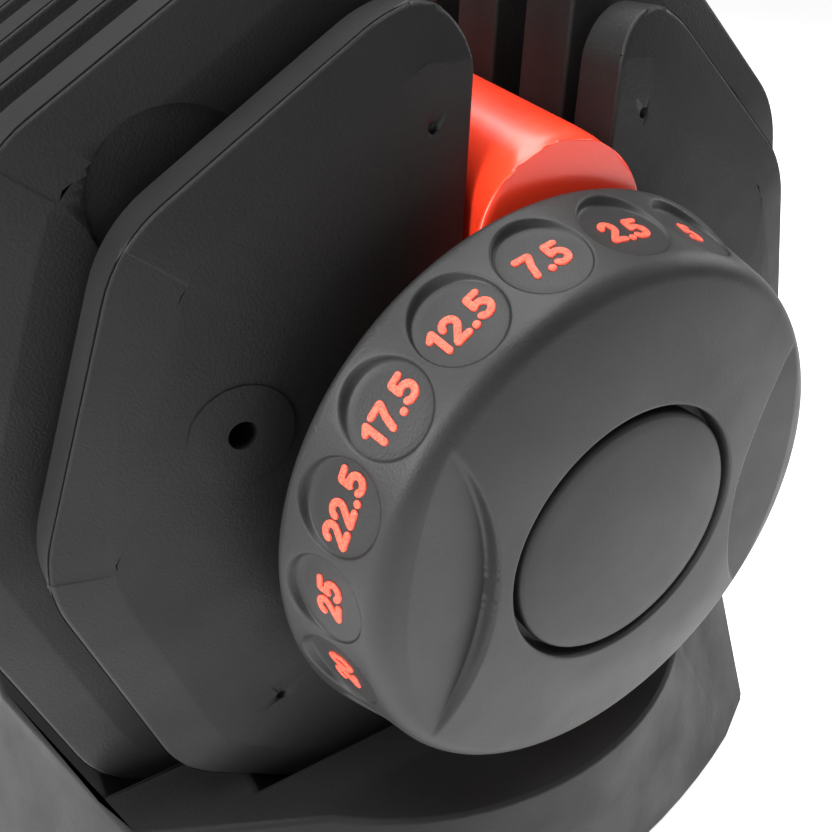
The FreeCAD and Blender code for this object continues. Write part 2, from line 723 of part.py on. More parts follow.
def tray_outline(tip, corners, height):
    """The tray's outline at one height: each end an arc through its tip, then straight lines between corners."""
    half = [(x, y) for x, y in corners] + [(-x, y) for x, y in reversed(corners)]
    ring = [Vector(x, y, height) for x, y in half]
    back = [Vector(x, -y, height) for x, y in reversed(half)]
    edges = [Part.makeLine(a, b) for a, b in zip(ring, ring[1:])]
    edges.append(Part.Arc(ring[-1], Vector(-tip, 0, height), back[0]).toShape())
    edges += [Part.makeLine(a, b) for a, b in zip(back, back[1:])]
    edges.append(Part.Arc(back[-1], Vector(tip, 0, height), ring[0]).toShape())
    return Part.Wire(edges)


def tray_block(inset, bottom, top):
    """The tray's outer form drawn in by inset: a wide foot that narrows to the deck."""
    foot = tray_outline(*foot_numbers(inset), bottom)
    deck = tray_outline(*deck_numbers(inset), top)
    return Part.makeLoft([foot, deck], True, True)


def foot_numbers(inset):
    """Tip and corners of the tray's widest outline, at its foot."""
    k = SIZE["knob_rear"] - inset
    corners = [(k + 12, 68 - inset), (k + 5, 83 - inset), (k - 58, 104 - inset), (60, 106 - inset)]
    return k + 23, corners


def deck_numbers(inset):
    """Tip and corners of the tray's outline at the deck."""
    k = SIZE["knob_rear"] - inset
    corners = [(k + 4, 47 - inset), (k - 12, 79 - inset), (k - 58, 92 - inset), (60, 95 - inset)]
    return k + 21.5, corners


def wells(extra):
    """The pockets that the plates stand in, or the walls round them when extra is more than their clearance."""
    shapes = []
    for side in ("right", "left"):
        for kind in HELD:
            radius, width, rear = plate_numbers(kind)
            back = rear - extra
            solid = prism(radius + 1.2 * extra, back, rear + width + SIZE["ring_height"] + extra)
            solid.Placement = end_place(side)
            shapes.append(solid)
    return shapes[0].fuse(shapes[1:])


def tray_shell():
    """The moulded tray: sloping sides, a deck with a well for each plate, and a low middle for the hand."""
    foot = SIZE["base_lift"] + SIZE["base_width"]
    deck = tray_level(SIZE["deck_drop"])
    wall = SIZE["tray_wall"]
    low = tray_level(SIZE["hand_well_floor"])
    half = SIZE["hand_well_half"]
    outer = tray_block(0, foot, deck).cut(box(-half, half, -150, 150, low, deck + 1))
    inner = tray_block(wall, foot - 0.01, deck - wall)
    inner = inner.cut(box(-half - wall, half + wall, -150, 150, low - wall, deck + 1))
    inner = inner.cut(wells(SIZE["well_gap"] + wall))
    shell = outer.cut(inner).cut(wells(SIZE["well_gap"]))
    shell = shell.fuse(plate_rests())
    for x, y in base_screws():
        shell = shell.fuse(Part.makeCylinder(4.0, low - wall - foot + 1, Vector(x, y, foot)))
    for x, y in base_screws():
        shell = shell.cut(Part.makeCylinder(1.5, 8, Vector(x, y, foot - 1)))
    group("tray_shell", shell.removeSplitter())


def base_screws():
    return [(x, y) for x in (-30, 30) for y in (-75, 75)]


def tray_base():
    """A flat sheet that closes the tray's underside."""
    outline = tray_outline(*foot_numbers(1.0), SIZE["base_lift"])
    base = Part.Face(outline).extrude(Vector(0, 0, SIZE["base_width"]))
    for x, y in base_screws():
        base = base.cut(Part.makeCylinder(1.6, 5, Vector(x, y, SIZE["base_lift"] - 1)))
    group("tray_base", base)


def plate_rests():
    """Two ribs on each well's floor, which the plate stands on."""
    rests = []
    for side in ("right", "left"):
        for kind in HELD:
            radius, width, rear = plate_numbers(kind)
            top = -plate_top(radius) - 0.3
            floor = -plate_top(radius + 1.2 * SIZE["well_gap"]) - 1
            for y in (-18, 10):
                rest = box(rear + 3, rear + width - 3, y, y + 8, floor, top)
                rest.Placement = end_place(side)
                rests.append(rest)
    return rests


def tray_small_parts():
    """Posts that free the dial locks, feet and screws."""
    posts = []
    x = SIZE["chamber_floor"] + 1
    for side in ("right", "left"):
        post = box(x, x + SIZE["wheel_width"], -5, 5, -SIZE["deck_drop"], -SIZE["stem_end"] - 0.3)
        foot = box(x - 4, x + SIZE["wheel_width"] + 3, -9, 9, -SIZE["deck_drop"], -SIZE["deck_drop"] + 2)
        post = post.fuse(foot).removeSplitter()
        post.Placement = end_place(side)
        posts.append(post)
    group("tray_release_posts", Part.makeCompound(posts))
    feet = [
        Part.makeCylinder(10, SIZE["base_lift"], Vector(x, y, 0)) for x in (-150, 150) for y in (-60, 60)
    ]
    group("tray_feet", Part.makeCompound(feet))
    screws = []
    for x, y in base_screws():
        shank = Part.makeCylinder(1.5, 8, Vector(x, y, SIZE["base_lift"]))
        head = Part.makeCylinder(3.2, 1.2, Vector(x, y, SIZE["base_lift"] - 1.2))
        screws.append(shank.fuse(head).removeSplitter())
    group("tray_screws", Part.makeCompound(screws))


# ---------------------------------------------------------------- build and write


def build():
    dimension_sheet()
    tray_shell()
    tray_base()
    tray_small_parts()
    handle_tube()
    grip_sleeve()
    housing_screws()
    for side in ("right", "left"):
        end_housing(side)
        axle_bush(side)
        shroud(side)
        lock_plunger(side)
        plunger_spring(side)
        selector_axle(side)
        lock_wheel(side)
        dial_knob(side)
        knob_cap(side)
        dial_labels(side)
        axle_screw(side)
        for kind in HELD:
            steel_core(kind, side)
            nylon_jacket(kind, side)
            selector_disc(kind, side)
    doc.recompute()


def check():
    """Stops with a message if any feature failed or any sub-part's shape is empty or invalid."""
    failed = [o.Name for o in doc.Objects if "Invalid" in o.State or "Error" in o.State]
    if failed:
        raise SystemExit(f"features that failed: {failed}")
    for part in made:
        if part.Shape.isNull() or not part.Shape.isValid() or not part.Shape.Solids:
            raise SystemExit(f"{part.Label} has no valid shape")


def write():
    os.makedirs("parts", exist_ok=True)
    for part in made:
        part.Shape.exportStep(f"parts/{part.Label}.step")
        print(f"{part.Label}: {len(part.Shape.Solids)} solids, {part.Shape.Volume / 1000:.2f} cm3")


build()
check()
write()
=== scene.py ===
"""Looks for the adjustable dumbbell: materials, softened mouldings, dials, grip, light and camera."""

import bmesh
import bpy
import json
import math

from mathutils import Matrix, Vector


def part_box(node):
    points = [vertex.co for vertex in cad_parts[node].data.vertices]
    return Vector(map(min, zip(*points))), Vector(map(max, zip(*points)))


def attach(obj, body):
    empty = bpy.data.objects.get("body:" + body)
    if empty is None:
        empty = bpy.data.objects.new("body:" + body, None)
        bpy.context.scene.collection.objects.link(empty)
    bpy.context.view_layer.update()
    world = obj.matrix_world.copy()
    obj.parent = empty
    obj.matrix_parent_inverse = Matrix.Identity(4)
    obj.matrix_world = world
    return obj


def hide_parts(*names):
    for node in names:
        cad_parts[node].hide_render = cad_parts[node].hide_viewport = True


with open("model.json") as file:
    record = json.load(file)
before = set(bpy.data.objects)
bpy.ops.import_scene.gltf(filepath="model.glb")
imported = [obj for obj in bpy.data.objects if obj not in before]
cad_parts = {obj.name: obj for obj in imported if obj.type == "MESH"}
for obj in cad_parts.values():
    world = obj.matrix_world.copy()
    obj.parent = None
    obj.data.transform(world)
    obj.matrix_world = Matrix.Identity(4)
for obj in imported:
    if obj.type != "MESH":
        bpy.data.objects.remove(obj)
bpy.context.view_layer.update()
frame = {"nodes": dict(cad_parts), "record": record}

MM = 0.001
SIDES = (("right", 1), ("left", -1))
PLATES = ("small_plate", "large_plate_4", "large_plate_3", "large_plate_2", "large_plate_1")
AXIS_Z = (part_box("right_dial_knob")[0].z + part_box("right_dial_knob")[1].z) / 2
TIP_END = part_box("right_selector_axle")[1].x  # the axle ends 12 mm in front of the knob's rear rim
KNOB_REAR = TIP_END - 12 * MM


# ---------------------------------------------------------------- material helpers


class Shader:
    """A material with a few helpers for adding and joining its nodes."""

    def __init__(self, name):
        self.material = bpy.data.materials.new(name)
        self.material.use_nodes = True
        self.tree = self.material.node_tree
        self.bsdf = next(n for n in self.tree.nodes if n.type == "BSDF_PRINCIPLED")
        self.place = self.tree.nodes.new("ShaderNodeTexCoord").outputs["Object"]

    def link(self, a, b):
        self.tree.links.new(a, b)

    def node(self, kind, **inputs):
        made = self.tree.nodes.new("ShaderNode" + kind)
        for key, value in inputs.items():
            socket = made.inputs[key.replace("_", " ")]
            if hasattr(value, "links"):
                self.link(value, socket)
            else:
                socket.default_value = value
        return made

    def noise(self, scale, detail=3.0, roughness=0.55, vector=None):
        made = self.node("TexNoise", Scale=scale, Detail=detail, Roughness=roughness)
        self.link(vector or self.place, made.inputs["Vector"])
        return made.outputs["Fac"]

    def stretch(self, x, y, z):
        made = self.node("Mapping", Vector=self.place, Scale=(x, y, z))
        return made.outputs["Vector"]

    def ramp(self, value, *stops):
        made = self.node("ValToRGB", Fac=value)
        ramp = made.color_ramp
        while len(ramp.elements) < len(stops):
            ramp.elements.new(0.5)
        for element, (place, colour) in zip(ramp.elements, stops):
            element.position = place
            level = colour if isinstance(colour, tuple) else (colour, colour, colour)
            element.color = (*level, 1)
        return made.outputs["Color"]

    def mix(self, factor, a, b, kind="MIX"):
        made = self.tree.nodes.new("ShaderNodeMix")
        made.data_type = "RGBA"
        made.blend_type = kind
        for socket, value in ((made.inputs[0], factor), (made.inputs[6], a), (made.inputs[7], b)):
            if hasattr(value, "links"):
                self.link(value, socket)
            elif isinstance(value, tuple):
                socket.default_value = (*value, 1)
            else:
                socket.default_value = value
        return made.outputs[2]

    def math(self, kind, a, b=0.0):
        made = self.tree.nodes.new("ShaderNodeMath")
        made.operation = kind
        for socket, value in zip(made.inputs, (a, b)):
            if hasattr(value, "links"):
                self.link(value, socket)
            else:
                socket.default_value = value
        return made.outputs[0]

    def bump(self, *layers):
        """Adds bump layers as (height, strength, distance in metres) one after the other."""
        normal = None
        for height, strength, distance in layers:
            made = self.node("Bump", Strength=strength, Distance=distance, Height=height)
            if normal:
                self.link(normal, made.inputs["Normal"])
            normal = made.outputs["Normal"]
        self.link(normal, self.bsdf.inputs["Normal"])

    def colour(self, value):
        self.link(value, self.bsdf.inputs["Base Color"])

    def rough(self, value):
        self.link(value, self.bsdf.inputs["Roughness"])

    def fixed(self, **values):
        for key, value in values.items():
            self.bsdf.inputs[key.replace("_", " ")].default_value = value


def nylon(name, dark, light, grain=0.55, rough=(0.5, 0.66), pebble=1500.0, specular=0.42):
    """Moulded plastic with a pebbled skin, a cloudy tone and pale specks."""
    s = Shader(name)
    cloud = s.noise(9.0, 4.0)
    speck = s.noise(900.0, 2.0)
    tone = s.mix(s.ramp(cloud, (0.35, 0.0), (0.7, 1.0)), dark, light)
    tone = s.mix(s.math("MULTIPLY", s.ramp(speck, (0.45, 0.0), (0.8, 1.0)), 0.35), tone, light)
    s.colour(tone)
    s.rough(s.ramp(s.noise(60.0, 5.0), (0.3, rough[0]), (0.7, rough[1])))
    s.bump((s.noise(pebble, 2.0, 0.5), grain, 0.00012), (s.noise(700.0, 2.0), grain * 0.3, 0.0001))
    s.fixed(Specular_IOR_Level=specular)
    return s.material


def red_shader():
    """Glossy orange-red moulding, with a slight waviness, a faint haze and a few dust specks."""
    s = Shader("shroud_red")
    base = s.mix(s.noise(14.0, 3.0), (0.86, 0.038, 0.012), (0.93, 0.055, 0.018))
    dust = s.ramp(s.noise(1400.0, 1.0), (0.72, 0.0), (0.8, 1.0))
    s.colour(s.mix(s.math("MULTIPLY", dust, 0.12), base, (0.95, 0.5, 0.42)))
    s.rough(s.ramp(s.noise(40.0, 4.0), (0.3, 0.27), (0.75, 0.36)))
    s.bump((s.noise(55.0, 2.0), 0.12, 0.0006), (s.noise(2400.0, 1.0), 0.12, 0.0001))
    s.fixed(Specular_IOR_Level=0.55, Coat_Weight=0.25, Coat_Roughness=0.18, Subsurface_Weight=0.06,
            Subsurface_Radius=(0.004, 0.0012, 0.0006))
    return s.material


def numeral_shader():
    """Matte orange-red fill with a slightly rough, speckled face."""
    s = Shader("numeral_red")
    speck = s.ramp(s.noise(2600.0, 3.0), (0.4, 0.0), (0.62, 1.0))
    s.colour(s.mix(speck, (0.78, 0.055, 0.026), (0.95, 0.11, 0.055)))
    s.rough(s.ramp(s.noise(700.0, 2.0), (0.3, 0.42), (0.7, 0.6)))
    s.bump((s.noise(2300.0, 3.0), 0.6, 0.0002))
    return s.material


def metal(name, tone, rough, stretch=(1, 1, 1), grain=0.3, scale=160.0):
    """Metal with fine machining lines along the directions that are stretched least."""
    s = Shader(name)
    lines = s.noise(scale, 4.0, 0.6, s.stretch(*stretch))
    darker = tuple(c * 0.72 for c in tone)
    s.colour(s.mix(s.noise(30.0, 4.0), darker, tone))
    s.rough(s.ramp(lines, (0.25, rough * 0.75), (0.75, rough * 1.3)))
    s.bump((lines, grain, 0.0001))
    s.fixed(Metallic=1.0)
    return s.material


def rubber_shader(name, tone):
    s = Shader(name)
    cloud = s.noise(25.0, 4.0)
    s.colour(s.mix(cloud, tone, tuple(c * 1.7 for c in tone)))
    s.rough(s.ramp(s.noise(90.0, 3.0), (0.3, 0.62), (0.7, 0.8)))
    s.bump((s.noise(1800.0, 3.0), 0.5, 0.0002), (s.noise(300.0, 2.0), 0.2, 0.0003))
    s.fixed(Specular_IOR_Level=0.35)
    return s.material


MATERIALS = {
    "plate_nylon": nylon(  # glass-filled, nearly black
        "plate_nylon", (0.0085, 0.0085, 0.0085), (0.014, 0.0138, 0.0135), 0.6, (0.46, 0.6), 2200.0, 0.2
    ),
    "dial_plastic": nylon(
        "dial_plastic", (0.012, 0.012, 0.012), (0.019, 0.0188, 0.0185), 0.35, (0.4, 0.52), 2600.0, 0.3
    ),
    "cap_plastic": nylon(
        "cap_plastic", (0.012, 0.012, 0.012), (0.017, 0.0168, 0.0165), 0.25, (0.42, 0.52), 2800.0, 0.25
    ),
    "tray_plastic": nylon(
        "tray_plastic", (0.009, 0.009, 0.0092), (0.0145, 0.0144, 0.0142), 0.45, (0.44, 0.58), 1900.0, 0.16
    ),
    "dark_plastic": nylon("dark_plastic", (0.014, 0.014, 0.0145), (0.026, 0.026, 0.026), 0.4, (0.4, 0.55)),
    "shroud_red": red_shader(),
    "numeral_red": numeral_shader(),
    "steel": metal("steel", (0.62, 0.61, 0.6), 0.26, (40, 1, 1)),
    "steel_screw": metal("steel_screw", (0.55, 0.54, 0.5), 0.34),
    "steel_spring": metal("steel_spring", (0.5, 0.5, 0.52), 0.3),
    "plate_steel": metal("plate_steel", (0.09, 0.09, 0.092), 0.5, (1, 1, 1), 0.5),
    "foot_rubber": rubber_shader("foot_rubber", (0.012, 0.012, 0.012)),
    "grip_rubber": rubber_shader("grip_rubber", (0.014, 0.014, 0.0145)),
    "bush_plastic": nylon("bush_plastic", (0.5, 0.49, 0.44), (0.6, 0.59, 0.54)),
    "disc_plastic": nylon("disc_plastic", (0.6, 0.59, 0.55), (0.7, 0.69, 0.64)),
}
SLOT_OF = {part["node"]: part["material_slot"] for part in frame["record"]["subparts"]}


def repaint():
    """Gives every CAD node the material of its slot."""
    for name, node in frame["nodes"].items():
        node.data.materials.clear()
        node.data.materials.append(MATERIALS[SLOT_OF[name]])


# ---------------------------------------------------------------- mesh helpers


def new_piece(name, mesh, body, slot, *replaced):
    piece = bpy.data.objects.new(name, mesh)
    bpy.context.scene.collection.objects.link(piece)
    mesh.materials.clear()
    mesh.materials.append(MATERIALS[slot])
    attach(piece, body)
    if replaced:
        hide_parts(*replaced)
    return piece


def mesh_from(name, points, faces, smooth_below=35.0):
    mesh = bpy.data.meshes.new(name)
    mesh.from_pydata(points, [], faces)
    mesh.validate()
    shade(mesh, smooth_below)
    return mesh


def shade(mesh, smooth_below):
    """Smooth shading, with edges sharper than an angle kept sharp."""
    mesh.shade_smooth()
    mesh.set_sharp_from_angle(angle=math.radians(smooth_below))


def body_of_node(node):
    bodies = frame["record"]["behaviour"]["bodies"]
    return next(body for body, nodes in bodies.items() if node in nodes)


def softened(node, passes, corner_radius=None):
    """A copy of a CAD node that stands for it, with some of its edges rounded.

    passes are (width in mm, segments, lowest angle, highest angle, pick), where pick says from an edge's two
    corners whether it is rounded. corner_radius is a plate's own, from its axis to its corners: a plate has
    its flat faces merged first and its corners rounded in plan last.
    """
    bm = bmesh.new()
    bm.from_mesh(frame["nodes"][node].data)
    bmesh.ops.remove_doubles(bm, verts=bm.verts, dist=1e-6)
    if corner_radius:
        bmesh.ops.dissolve_limit(bm, angle_limit=math.radians(0.6), verts=bm.verts, edges=bm.edges)
    for width, segments, lowest, highest, pick in passes:
        chosen = []
        for edge in bm.edges:
            if len(edge.link_faces) != 2 or not lowest < math.degrees(edge.calc_face_angle(0)) < highest:
                continue
            if pick(*(v.co for v in edge.verts)):
                chosen.append(edge)
        bmesh.ops.bevel(
            bm, geom=chosen, offset=width * MM, offset_type="OFFSET", segments=segments, profile=0.5,
            affect="EDGES", clamp_overlap=False,
        )
    if corner_radius:
        round_corners(bm, corner_radius)
    mesh = bpy.data.meshes.new(node + "_soft")
    bm.to_mesh(mesh)
    bm.free()
    shade(mesh, 38.0)
    slot = SLOT_OF[node]
    piece = new_piece(node + "_soft", mesh, body_of_node(node), slot, node)
    even = piece.modifiers.new("even_normals", "WEIGHTED_NORMAL")
    even.weight = 100
    even.keep_sharp = True
    return piece


def end_matrix(sign):
    """From an end's own frame, X outwards with its origin on the axis, to the row frame."""
    turn = Matrix.Rotation(0 if sign > 0 else math.pi, 4, "Z")
    return Matrix.Translation((0, 0, AXIS_Z)) @ turn


# ---------------------------------------------------------------- plates

PLATE_SIDES = 10
HALF_TURN = math.radians(180 / PLATE_SIDES)  # from a corner to the middle of the next side
RING_HEIGHT = 0.3 * MM  # the hub ring stands proud of the front
JACKET_WALL = 1.0 * MM
BEVEL_DROP = 2.0 * MM
BEVEL_BAND = 9.3 * MM  # the bevelled band round the front, from corner to corner, and a little more
CORNER_BEND = 25.0 * MM  # radius of a cover's corners in plan
CORNER_STEPS = (-4, -3, -2, -1, 1, 2, 3, 4)
CORE_BEHIND_FRONT = 1.7 * MM  # the steel's front face behind the cover's
SMALL_RADIUS = 85.0
FEATURES = (  # across, up and reach in mm, on the small plate: hub ring, moulding holes and boss
    (54.2, 18.5, 9.2),
    (22.0, 62.6, 2.0),
    (50.0, -39.1, 2.0),
    (47.0, 43.5, 14.6),
)


def plate_edges(node, sign):
    """Picks a plate cover's outer edges, on its rear face and round its front, away from its features."""
    low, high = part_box(node)
    core_low, core_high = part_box(node.replace("jacket", "core"))
    scale = (high.y - low.y) / 2 / SMALL_RADIUS
    outer, inner = (high.x, core_low.x) if sign > 0 else (low.x, core_high.x)
    front = abs(outer) - RING_HEIGHT
    rear = abs(inner) - JACKET_WALL
    slack = 0.05 * MM

    def pick(a, b):
        for corner in (a, b):
            x = abs(corner.x)
            on_rear = abs(x - rear) < 0.06 * MM
            on_front = front - BEVEL_DROP - slack < x < front + slack
            if not (on_rear or on_front) or abs(x - (front - CORE_BEHIND_FRONT)) < slack:
                return False
        for y, z, reach in FEATURES:
            for turn in (-1, 1):
                if math.hypot(a.y - turn * y * scale, a.z - AXIS_Z - z * scale) < (reach + 0.3) * MM:
                    return False
        return True

    return pick


def round_corners(bm, radius):
    """Rounds a plate cover's corners in plan: cuts rays on both sides of each and draws its outline in."""
    centre = radius - CORNER_BEND / math.cos(HALF_TURN)
    reach = math.atan2(CORNER_BEND * math.sin(HALF_TURN), centre + CORNER_BEND * math.cos(HALF_TURN))
    bmesh.ops.triangulate(bm, faces=bm.faces[:])
    for corner in range(PLATE_SIDES // 2):  # a cut through the axis meets the opposite corner too
        for step in CORNER_STEPS:
            ray = math.radians(36 * corner) + reach * step / 4
            bmesh.ops.bisect_plane(
                bm, geom=bm.verts[:] + bm.edges[:] + bm.faces[:], dist=1e-7, plane_co=(0, 0, AXIS_Z),
                plane_no=(0, -math.sin(ray), math.cos(ray)),
            )
    for vert in bm.verts:
        y, z = vert.co.y, vert.co.z - AXIS_Z
        off = (math.atan2(z, y) + HALF_TURN) % (2 * HALF_TURN) - HALF_TURN
        sharp = radius * math.cos(HALF_TURN) / math.cos(HALF_TURN - abs(off))
        if abs(off) < reach and math.hypot(y, z) > sharp * (1 - BEVEL_BAND / radius):
            bent = centre * math.cos(off) + math.sqrt(CORNER_BEND ** 2 - (centre * math.sin(off)) ** 2)
            vert.co.y = y * bent / sharp
            vert.co.z = AXIS_Z + z * bent / sharp


def tray_edges():
    """Picks the tray's deck edges, well mouths and outer corners, but not its inside or its ribs."""
    low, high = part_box("tray_shell")
    deck, foot = high.z - 0.01 * MM, low.z + 0.01 * MM

    def pick(a, b):
        if a.z > deck and b.z > deck:
            return True
        rises_from_foot = min(a.z, b.z) < foot and max(a.z, b.z) > foot + 10 * MM
        return rises_from_foot and max(abs(a.y), abs(b.y)) > 60 * MM

    return pick


repaint()
for side, sign in SIDES:
    for plate in PLATES:
        node = f"{side}_{plate}_jacket"
        low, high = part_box(node)
        pick = plate_edges(node, sign)
        crease, rim = (0.35, 2, 7, 20, pick), (0.8, 4, 44, 120, pick)
        softened(node, [crease, rim], (high.y - low.y) / 2)
    softened(f"{side}_shroud", [])
    softened(f"{side}_end_housing", [])
softened("tray_shell", [(1.0, 3, 20, 130, tray_edges())])


# ---------------------------------------------------------------- dial

POCKETS = 20
POCKET_TURN = math.radians(360 / POCKETS)
POCKET_X = 10.4  # the dial's numbers are in mm, from its rear rim along the axis and from the axis outwards
POCKET_RADIUS = 7.3
POCKET_FLOOR = 50.1  # at the middle of a pocket
POCKET_SLOPE = 0.24
REAR_RADIUS = 54.0
FRONT_RADIUS = 48.6
CAP_HOLE = 24.6
CAP_FLOOR = 18.5  # floor of the cap's recess
FACE_BACK = 15.0  # back of the dial's face, inside
HUB_END = -2.5
BORE_RADIUS = 3.4
SKIRT_START = 1.5
SKIRT_END = 18.7  # where the pocketed band hands over to the turned front
FRONT_EDGE = ((17.4, FRONT_RADIUS + 0.35), (19.7, FRONT_RADIUS - 0.9), (21.0, FRONT_RADIUS - 3.4))
DOME = ((21.0, FRONT_RADIUS - 3.4), (22.2, (FRONT_RADIUS + CAP_HOLE) / 2 - 1), (22.6, CAP_HOLE + 0.6))
POCKET_EDGE = (  # distance outside the pocket's radius, and share of its depth, down over its rounded edge
    (0.5, 0.0),
    (0.28, 0.04),
    (0.12, 0.14),
    (0.0, 0.36),
    (-0.1, 0.74),
    (-0.26, 0.93),
    (-0.5, 1.0),
)
SCOOP_RADIUS = 46.5
SCOOP_CENTRE = 74.2
SCOOP_END = 45.0  # where a scoop's floor meets the face, from the axis
SCOOP_TILT = math.radians(5.5)
SCOOP_START = 21.5  # a scoop's floor along the axis, at its end
COLUMNS = 36  # around one pocket's share of the rim
ROWS = 30


def circle_through(a, b, c):
    """Centre and radius of the circle through three (x, r) points."""
    (ax, ay), (bx, by), (cx, cy) = a, b, c
    d = 2 * (ax * (by - cy) + bx * (cy - ay) + cx * (ay - by))
    aa, bb, cc = ax * ax + ay * ay, bx * bx + by * by, cx * cx + cy * cy
    x = (aa * (by - cy) + bb * (cy - ay) + cc * (ay - by)) / d
    y = (aa * (cx - bx) + bb * (ax - cx) + cc * (bx - ax)) / d
    return x, y, math.hypot(ax - x, ay - y)


def arc_points(a, b, c, count):
    """Points along the shorter arc from a to c of the circle through b, without a itself."""
    x, y, radius = circle_through(a, b, c)
    start, end = (math.atan2(p[1] - y, p[0] - x) for p in (a, c))
    while end - start > math.pi:
        end -= 2 * math.pi
    while start - end > math.pi:
        end += 2 * math.pi
    steps = [start + (end - start) * i / count for i in range(1, count + 1)]
    return [(x + radius * math.cos(t), y + radius * math.sin(t)) for t in steps]


EDGE_CIRCLE = circle_through(*FRONT_EDGE)


def skirt_radius(x):
    """Radius of the dial's outside at x, on its cone and the start of its front rounding."""
    (x1, r1) = FRONT_EDGE[0]
    if x <= x1:
        return REAR_RADIUS + (r1 - REAR_RADIUS) * (x - SKIRT_START) / (x1 - SKIRT_START)
    cx, cr, radius = EDGE_CIRCLE
    return cr + math.sqrt(max(0.0, radius ** 2 - (x - cx) ** 2))


def floor_height(x):
    """A pocket's floor from the dial's axis, at x along it."""
    return POCKET_FLOOR - POCKET_SLOPE * (x - POCKET_X)


def smooth(value):
    """Eases from 0 to 1 as a value goes from 0 to 1."""
    value = min(1.0, max(0.0, value))
    return value * value * (3 - 2 * value)


def pocket_patch(index):
    """One pocket and its share of the rim, as rings of points from its border in to its centre."""
    half = POCKET_TURN / 2
    length = SKIRT_END - SKIRT_START
    border = [(SKIRT_START, -half + POCKET_TURN * i / COLUMNS) for i in range(COLUMNS)]
    border += [(SKIRT_START + length * i / ROWS, half) for i in range(ROWS)]
    border += [(SKIRT_END, half - POCKET_TURN * i / COLUMNS) for i in range(COLUMNS)]
    border += [(SKIRT_END - length * i / ROWS, -half) for i in range(ROWS)]
    border = [(x, skirt_radius(x) * math.sin(angle)) for x, angle in border]
    rings = []
    for x, t in border:
        away = math.hypot(x - POCKET_X, t)
        ux, ut = (x - POCKET_X) / away, t / away
        spots = [(away + (POCKET_RADIUS + 0.5 - away) * k / 3, 0.0) for k in range(3)]
        spots += [(POCKET_RADIUS + offset, share) for offset, share in POCKET_EDGE]
        spots += [((POCKET_RADIUS - 0.5) * share, 1.0) for share in (0.8, 0.55, 0.3)]
        rings.append([(POCKET_X + ux * d, ut * d, share) for d, share in spots])
    turn = POCKET_TURN * index
    points = []
    for ray in rings:
        for x, t, share in ray:
            radius = skirt_radius(min(x, SKIRT_END))
            height = math.sqrt(radius ** 2 - t ** 2)
            height -= share * max(0.0, height - floor_height(x))
            points.append(rim_point(x, t, height, turn))
    points.append(rim_point(POCKET_X, 0.0, POCKET_FLOOR, turn))
    depth = len(rings[0])
    count = len(rings)
    faces = []
    for i in range(count):
        j = (i + 1) % count
        for k in range(depth - 1):
            faces.append((i * depth + k, i * depth + k + 1, j * depth + k + 1, j * depth + k))
        faces.append((i * depth + depth - 1, len(points) - 1, j * depth + depth - 1))
    return points, faces


def rim_point(x, t, height, turn):
    """A point given by its place along the axis, to the side and out from the axis, turned round the dial."""
    return (x, t * math.cos(turn) - height * math.sin(turn), t * math.sin(turn) + height * math.cos(turn))


def scoop_drop(x, y, z):
    """How far a finger scoop lowers the dial's face at a point."""
    inside = SCOOP_RADIUS - math.hypot(abs(y) - SCOOP_CENTRE, z)
    floor_x = SCOOP_START - math.tan(SCOOP_TILT) * (SCOOP_END - abs(y))
    return smooth((inside + 0.2) / 1.1) * max(0.0, x - floor_x)


def dial_mesh(name):
    """The dial: a band of number pockets joined to a turned face, with finger scoops, and a turned inside."""
    points, faces = [], []
    for index in range(POCKETS):
        more, joined = pocket_patch(index)
        start = len(points)
        points += more
        faces += [tuple(start + i for i in face) for face in joined]
    front = [(x, skirt_radius(x)) for x in (SKIRT_END, SKIRT_END + 0.3)]
    front += [p for p in arc_points(*FRONT_EDGE, 16) if p[0] > SKIRT_END + 0.4]
    front += arc_points(*DOME, 72)
    front += [(22.55, CAP_HOLE + 0.25), (22.3, CAP_HOLE), (CAP_FLOOR, CAP_HOLE)]
    front += [(CAP_FLOOR, BORE_RADIUS), (HUB_END, BORE_RADIUS), (HUB_END, 8.0), (FACE_BACK, 9.0)]
    front += [(FACE_BACK, FRONT_RADIUS - 4), (14.2, FRONT_RADIUS - 2.6), (12.8, FRONT_RADIUS - 1.8)]
    front += [(0.0, REAR_RADIUS - 4), (0.0, REAR_RADIUS - 1.5), (0.15, REAR_RADIUS - 0.9)]
    front += [(0.5, REAR_RADIUS - 0.4), (0.95, REAR_RADIUS - 0.1), (SKIRT_START, skirt_radius(SKIRT_START))]
    total = COLUMNS * POCKETS
    start = len(points)
    for x, radius in front:
        for i in range(total):
            angle = -POCKET_TURN / 2 + 2 * math.pi * i / total
            y, z = -radius * math.sin(angle), radius * math.cos(angle)
            drop = scoop_drop(x, y, z) if x > 18 and radius > CAP_HOLE - 0.01 else 0.0
            points.append((x - drop, y, z))
    for row in range(len(front) - 1):
        for i in range(total):
            j = (i + 1) % total
            a, b = start + row * total, start + (row + 1) * total
            faces.append((a + i, b + i, b + j, a + j))
    bm = bmesh.new()
    made = [bm.verts.new(Vector(p) * MM) for p in points]
    for face in faces:
        bm.faces.new([made[i] for i in face])
    bmesh.ops.remove_doubles(bm, verts=bm.verts, dist=2e-6)
    bmesh.ops.recalc_face_normals(bm, faces=bm.faces)
    mesh = bpy.data.meshes.new(name)
    bm.to_mesh(mesh)
    bm.free()
    shade(mesh, 50.0)
    return mesh


